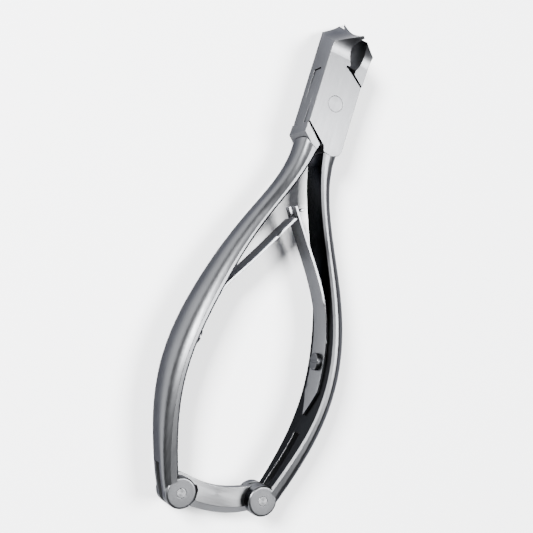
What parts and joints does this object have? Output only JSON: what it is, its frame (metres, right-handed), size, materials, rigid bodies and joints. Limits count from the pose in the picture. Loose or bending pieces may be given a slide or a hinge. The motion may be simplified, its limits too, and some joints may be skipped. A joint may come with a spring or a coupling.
{
  "type": "nail nipper",
  "caption": "Heavy toenail nipper: box-jointed steel levers with slanted concave cutting edges, interlocking leaf springs and a hinged lock strap across the handle ends.",
  "frame": {"origin": "pivot axis at the head's flat back face", "axes": "+Y along the tool towards the cutting edges, +Z from the back face to the front face along the pivot axis, +X to the right seen from the front"},
  "size_m": [0.0485, 0.1421, 0.0171],
  "materials": {
    "satin_steel": "satin",
    "spring_steel": "satin",
    "screw_steel": "satin",
    "strap_steel": "satin",
    "pin_steel": "satin"
  },
  "bodies": {
    "female_lever": {"female_lever": "satin_steel", "joint_rivet": "satin_steel", "right_leaf_spring": "spring_steel", "right_spring_screw": "screw_steel", "strap_hinge_rivet": "pin_steel"},
    "male_lever": {"male_lever": "satin_steel", "left_leaf_spring": "spring_steel", "left_spring_screw": "screw_steel", "catch_pin": "pin_steel"},
    "lock_strap": {"lock_strap": "strap_steel"}
  },
  "joints": [
    {"name": "main_hinge", "type": "hinge", "parent": "female_lever", "child": "male_lever", "pos_m": [0, 0, 0.00485], "axis": [0, 0, -1], "range_deg": [-2, 14], "deforming": ["left_leaf_spring", "right_leaf_spring"]},
    {"name": "lock_strap_hinge", "type": "hinge", "parent": "female_lever", "child": "lock_strap", "pos_m": [0.0134, -0.1071, 0.00485], "axis": [0, 0, -1], "range_deg": [-2, 95]}
  ]
}
